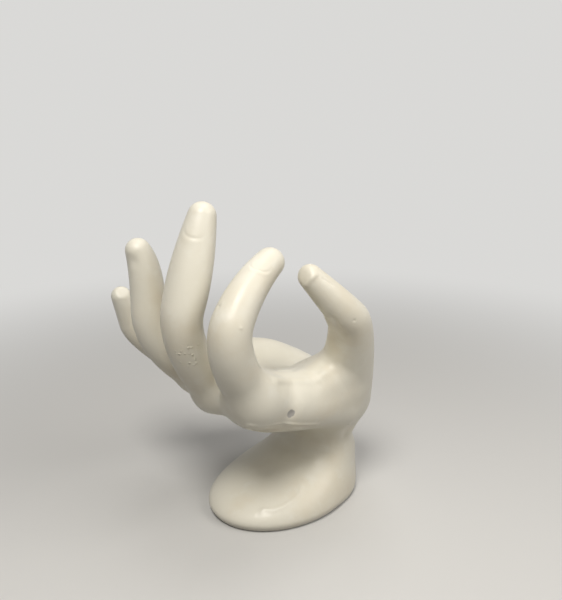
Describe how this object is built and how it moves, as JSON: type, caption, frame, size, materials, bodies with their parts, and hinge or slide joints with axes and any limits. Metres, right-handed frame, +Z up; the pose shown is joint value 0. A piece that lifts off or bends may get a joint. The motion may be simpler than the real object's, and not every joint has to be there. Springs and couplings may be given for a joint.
{
  "type": "hand sculpture",
  "caption": "Upturned left hand on a flared oval foot, thumb and index finger nearly closing a ring; an ornament that also holds rings and jewellery.",
  "frame": {"origin": "middle of the foot's oval, on the surface that the part stands on", "axes": "+Z up; +X to the viewer's right and +Y away from the viewer when the thumb is on the right and the fingertips on the left"},
  "size_m": [0.1084, 0.0988, 0.1398],
  "materials": {
    "ivory_ceramic": "satin",
    "felt": "matte"
  },
  "bodies": {
    "root": {"flared_foot": "ivory_ceramic", "palm": "ivory_ceramic", "thumb": "ivory_ceramic", "index_finger": "ivory_ceramic", "middle_finger": "ivory_ceramic", "ring_finger": "ivory_ceramic", "little_finger": "ivory_ceramic", "felt_pad": "felt"}
  },
  "joints": []
}
